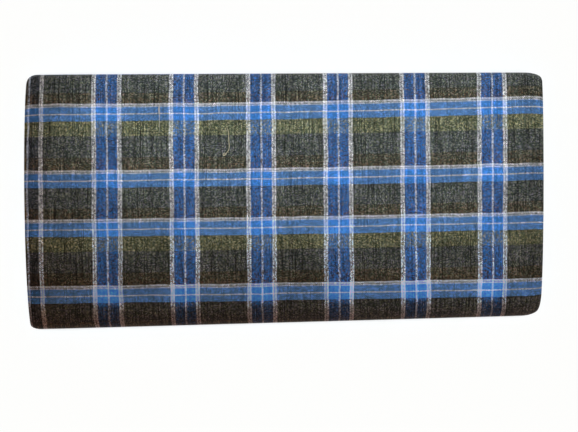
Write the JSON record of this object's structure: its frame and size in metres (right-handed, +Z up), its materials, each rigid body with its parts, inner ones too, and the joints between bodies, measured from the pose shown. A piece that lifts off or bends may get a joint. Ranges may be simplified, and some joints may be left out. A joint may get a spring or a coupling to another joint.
{
  "type": "folded lungi",
  "caption": "Checked cotton lungi, a wrapped lower garment, folded into a flat rectangular packet that lies on a surface.",
  "frame": {"origin": "on the surface the packet lies on, under the middle of its bounding box", "axes": "+X along the packet to its squarer end, +Y to the far edge where the selvedges are, +Z up"},
  "size_m": [0.3372, 0.1646, 0.018],
  "materials": {
    "cotton_that_shows": "matte plain weave",
    "cotton_inside": "matte plain weave"
  },
  "bodies": {
    "root": {"outer_strip": "cotton_that_shows", "inner_strips": "cotton_inside"}
  },
  "joints": []
}
